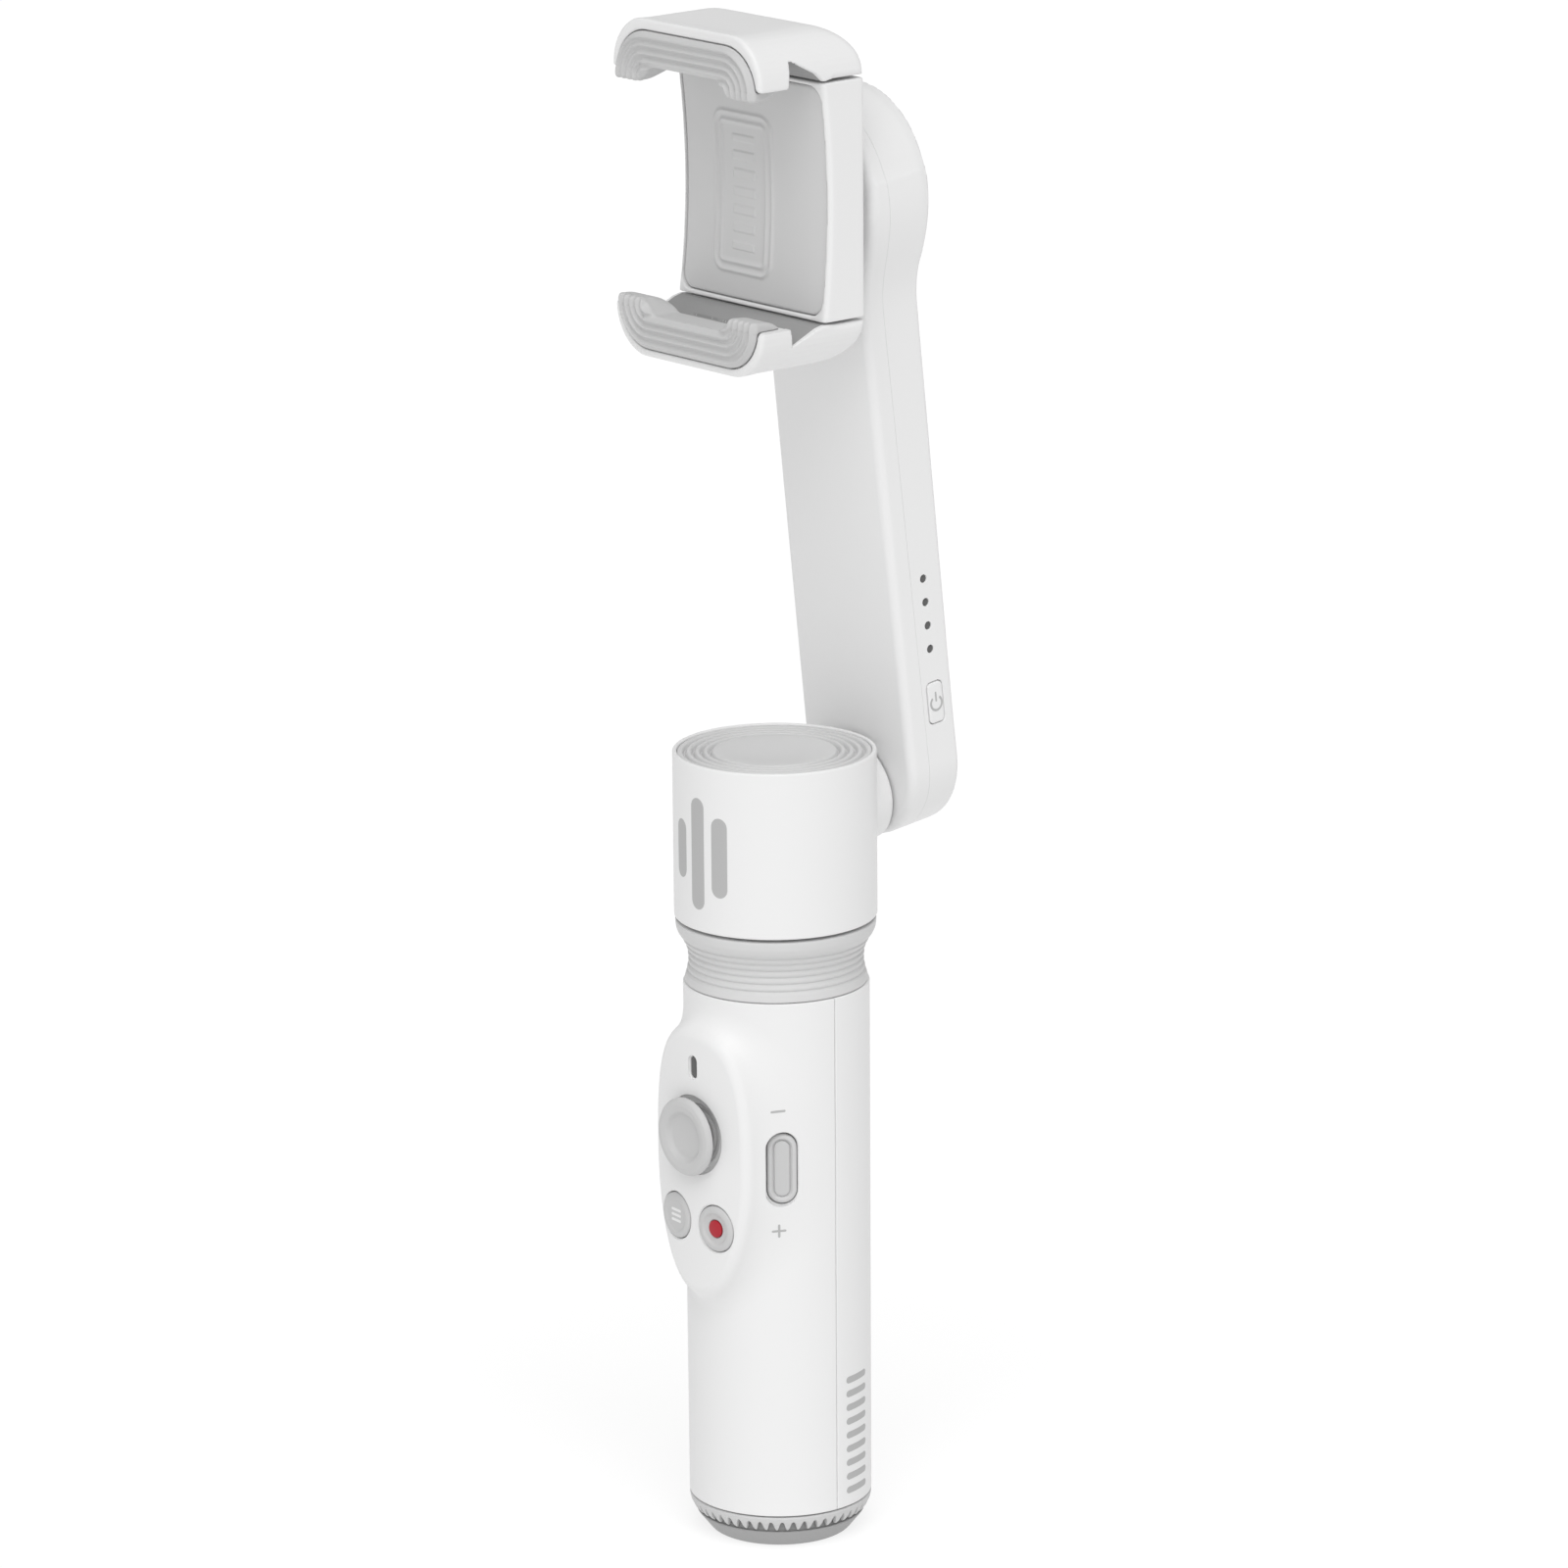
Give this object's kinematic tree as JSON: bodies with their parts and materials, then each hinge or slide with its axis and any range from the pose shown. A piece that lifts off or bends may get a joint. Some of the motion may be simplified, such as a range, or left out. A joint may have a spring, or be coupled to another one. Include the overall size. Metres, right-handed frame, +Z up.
{
  "type": "folding phone gimbal stabilizer",
  "caption": "Handheld folding phone stabilizer with a telescopic rod in a round handle, a turning motor head, a leaning fold arm and a spring phone clamp.",
  "frame": {"origin": "centre of the foot's underside, on the handle's axis, at the mouth of the tripod thread", "axes": "+Z up the handle, -Y towards the control panel and the phone side of the clamp, +X towards the zoom rocker and the power button"},
  "size_m": [0.0408, 0.0566, 0.2855],
  "materials": {
    "white_plastic": "fine satin, moulded",
    "grey_rubber": "soft matt",
    "dark_foot": "matt",
    "dark_window": "smooth, translucent smoke",
    "magnet": "dark nickel",
    "red_mark": "smooth",
    "brass": "machined",
    "steel": "brushed",
    "circuit_board": "solder mask",
    "battery_wrap": "foil",
    "copper_winding": "enamelled copper"
  },
  "bodies": {
    "handle": {"base_foot": "dark_foot", "base_ring": "grey_rubber", "tripod_insert": "brass", "handle_front_shell": "white_plastic", "handle_rear_shell": "white_plastic", "rod_housing_tube": "steel", "control_board": "circuit_board", "status_light_window": "dark_window", "joystick_base": "dark_foot", "zoom_rocker_pin": "steel"},
    "joystick_ring": {"joystick_gimbal_ring": "steel"},
    "joystick": {"joystick_cap": "grey_rubber"},
    "mode_key": {"mode_button": "grey_rubber"},
    "record_key": {"record_button": "grey_rubber", "record_dot": "red_mark"},
    "zoom_key": {"zoom_rocker": "grey_rubber"},
    "rod_1": {"rod_stage_1": "steel"},
    "rod_2": {"rod_stage_2": "steel"},
    "rod_3": {"rod_stage_3": "steel"},
    "neck": {"rod_stage_4": "steel", "neck_collar": "grey_rubber", "pan_axle": "steel", "pan_motor_stator": "copper_winding"},
    "head": {"head_shell": "white_plastic", "head_top_disc": "grey_rubber", "pan_rotor_bell": "steel", "pan_magnet_ring": "magnet", "pan_bearing": "steel", "fold_hinge_bush": "brass"},
    "arm": {"arm_front_shell": "white_plastic", "arm_rear_shell": "white_plastic", "fold_hinge_pin": "steel", "arm_battery": "battery_wrap", "arm_main_board": "circuit_board", "battery_light_guide": "dark_window", "charging_port": "steel", "roll_motor_stator": "copper_winding", "roll_bearing": "steel"},
    "power_key": {"power_button": "white_plastic"},
    "clamp": {"roll_axle_plate": "white_plastic", "roll_rotor_bell": "steel", "roll_magnet_ring": "magnet", "clamp_housing": "white_plastic", "clamp_back_pad": "grey_rubber", "jaw_spring": "steel"},
    "upper_jaw": {"upper_jaw": "white_plastic", "upper_jaw_pad": "grey_rubber"},
    "lower_jaw": {"lower_jaw": "white_plastic", "lower_jaw_pad": "grey_rubber"},
    "pinion": {"jaw_pinion": "brass"}
  },
  "joints": [
    {"name": "rod_slide_1", "type": "slide", "parent": "handle", "child": "rod_1", "axis": [0, 0, 1], "range_m": [0, 0.065]},
    {"name": "rod_slide_2", "type": "slide", "parent": "rod_1", "child": "rod_2", "axis": [0, 0, 1], "range_m": [0, 0.065]},
    {"name": "rod_slide_3", "type": "slide", "parent": "rod_2", "child": "rod_3", "axis": [0, 0, 1], "range_m": [0, 0.065]},
    {"name": "rod_slide_4", "type": "slide", "parent": "rod_3", "child": "neck", "axis": [0, 0, 1], "range_m": [0, 0.065]},
    {"name": "pan", "type": "hinge", "parent": "neck", "child": "head", "pos_m": [0, 0, 0.1188], "axis": [0, 0, 1], "range_deg": [-160, 160]},
    {"name": "fold", "type": "hinge", "parent": "head", "child": "arm", "pos_m": [0, 0.0208, 0.1389], "axis": [0, -0.9934, -0.1149], "range_deg": [0, 150]},
    {"name": "roll", "type": "hinge", "parent": "arm", "child": "clamp", "pos_m": [0, 0.0082, 0.2526], "axis": [0, 1, 0], "range_deg": [-160, 160]},
    {"name": "upper_jaw_slide", "type": "slide", "parent": "clamp", "child": "upper_jaw", "axis": [0, 0, 1], "range_m": [0, 0.021], "stiffness_N_per_m": 150, "springref_m": -0.004},
    {"name": "lower_jaw_slide", "type": "slide", "parent": "clamp", "child": "lower_jaw", "axis": [0, 0, -1], "range_m": [0, 0.021]},
    {"name": "jaw_pinion_turn", "type": "hinge", "parent": "clamp", "child": "pinion", "pos_m": [0, 0.001, 0.25435], "axis": [0, -1, 0], "range_deg": [0, 301]},
    {"name": "joystick_up_down", "type": "hinge", "parent": "handle", "child": "joystick_ring", "pos_m": [0, -0.0165, 0.0803], "axis": [1, 0, 0], "range_deg": [-8, 8], "stiffness_Nm_per_rad": 0.05},
    {"name": "joystick_left_right", "type": "hinge", "parent": "joystick_ring", "child": "joystick", "pos_m": [0, -0.0165, 0.0803], "axis": [0, 0, 1], "range_deg": [-8, 8], "stiffness_Nm_per_rad": 0.05},
    {"name": "mode_press", "type": "slide", "parent": "handle", "child": "mode_key", "axis": [0.096, 0.9954, 0], "range_m": [0, 0.0005], "stiffness_N_per_m": 1500, "springref_m": -0.0002},
    {"name": "record_press", "type": "slide", "parent": "handle", "child": "record_key", "axis": [-0.096, 0.9954, 0], "range_m": [0, 0.0005], "stiffness_N_per_m": 1500, "springref_m": -0.0002},
    {"name": "zoom_rock", "type": "hinge", "parent": "handle", "child": "zoom_key", "pos_m": [0.01103, -0.00862, 0.075], "axis": [0.6157, 0.788, 0], "range_deg": [-4, 4], "stiffness_Nm_per_rad": 0.05},
    {"name": "power_press", "type": "slide", "parent": "arm", "child": "power_key", "axis": [-1, 0, 0], "range_m": [0, 0.0004], "stiffness_N_per_m": 1500, "springref_m": -0.0002}
  ],
  "couplings": [
    {"joint": "lower_jaw_slide", "follows": "upper_jaw_slide", "ratio": 1},
    {"joint": "jaw_pinion_turn", "follows": "upper_jaw_slide", "rad_per_m": 250}
  ]
}
